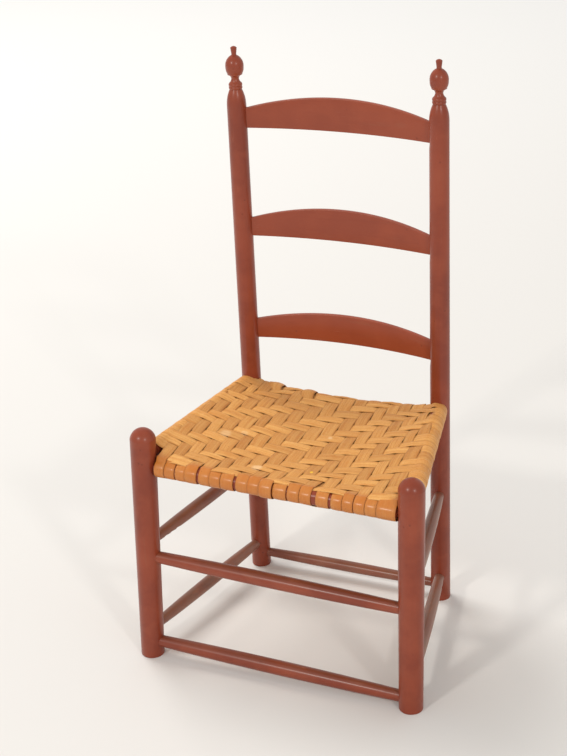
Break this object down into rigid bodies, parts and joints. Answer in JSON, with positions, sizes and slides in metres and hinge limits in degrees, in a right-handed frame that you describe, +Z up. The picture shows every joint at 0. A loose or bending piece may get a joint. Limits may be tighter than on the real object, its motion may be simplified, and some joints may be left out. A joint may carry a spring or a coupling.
{
  "type": "ladderback chair",
  "caption": "Ladderback side chair of turned posts and rungs with arched, bent slats, egg-shaped finials and a seat woven of flat wood splints.",
  "frame": {"origin": "on the floor, under the centre of the chair's bounding box", "axes": "+Z up, the longest way, along the back posts; the front of the chair faces -Y; +X is to the right as seen from the front"},
  "size_m": [0.5036, 0.3773, 0.965],
  "materials": {
    "painted_wood": "old brick-red paint, satin, rubbed and slightly darker towards the rungs",
    "wood_splint": "golden tan wood splint with fine straight grain, low varnish sheen"
  },
  "bodies": {
    "root": {"front_post_left": "painted_wood", "front_post_right": "painted_wood", "back_post_left": "painted_wood", "back_post_right": "painted_wood", "upper_front_rung": "painted_wood", "lower_front_rung": "painted_wood", "upper_left_rung": "painted_wood", "lower_left_rung": "painted_wood", "upper_right_rung": "painted_wood", "lower_right_rung": "painted_wood", "back_rung": "painted_wood", "front_seat_rail": "painted_wood", "left_seat_rail": "painted_wood", "right_seat_rail": "painted_wood", "back_seat_rail": "painted_wood", "top_slat": "painted_wood", "middle_slat": "painted_wood", "bottom_slat": "painted_wood", "seat_warp_splints": "wood_splint", "seat_weft_splints": "wood_splint"}
  },
  "joints": []
}
